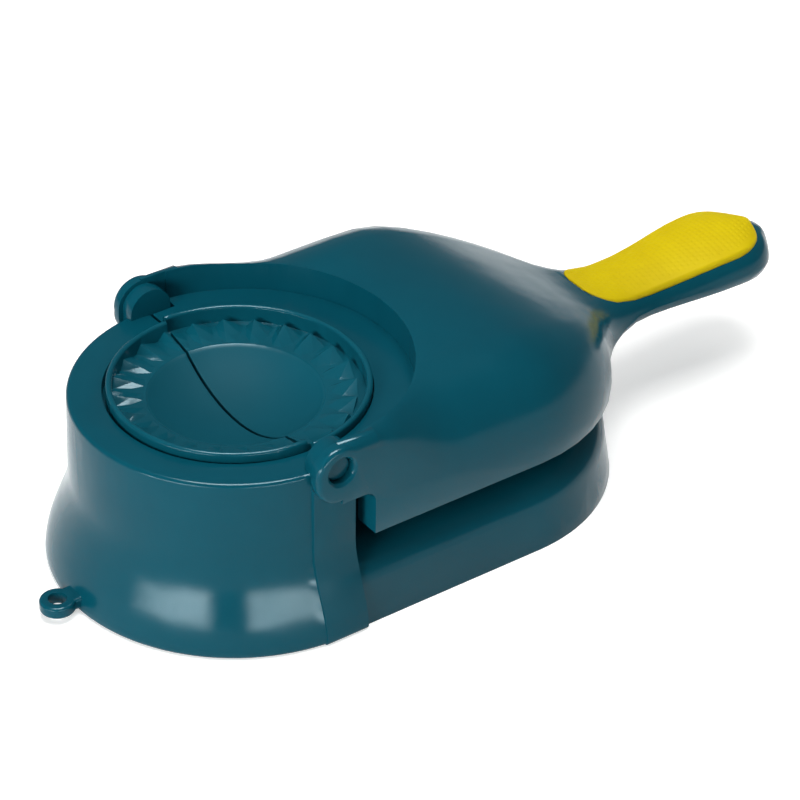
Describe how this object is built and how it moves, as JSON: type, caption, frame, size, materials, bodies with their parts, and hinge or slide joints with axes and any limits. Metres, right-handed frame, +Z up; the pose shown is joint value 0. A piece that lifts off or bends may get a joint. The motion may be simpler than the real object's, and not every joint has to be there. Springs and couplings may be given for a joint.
{
  "type": "dough turnover press",
  "caption": "Hand press for filled dough turnovers: pleated fold-over mould on a round tower, dough disc under a hinged lid with a long handle.",
  "frame": {"origin": "on the ground, at the middle of the bounding box in plan", "axes": "+X from the mould end with its hanging ring towards the handle, +Y along the hinge, +Z up"},
  "size_m": [0.2876, 0.1232, 0.0706],
  "materials": {
    "teal_shell": "satin moulded plastic",
    "teal_mould": "satin moulded plastic",
    "teal_pin": "satin moulded plastic",
    "yellow_grip": "matt dimpled soft plastic"
  },
  "bodies": {
    "base": {"base_shell": "teal_shell", "fixed_mould_half": "teal_mould", "dough_plate": "teal_mould", "hinge_pin_near": "teal_pin", "hinge_pin_far": "teal_pin"},
    "lid": {"lid_shell": "teal_shell", "moving_mould_half": "teal_mould", "press_disc": "teal_mould", "grip_insert": "yellow_grip"}
  },
  "joints": [
    {"name": "lid_hinge", "type": "hinge", "parent": "base", "child": "lid", "pos_m": [-0.07082, 0, 0.06175], "axis": [0, -1, 0], "range_deg": [0, 180]}
  ]
}
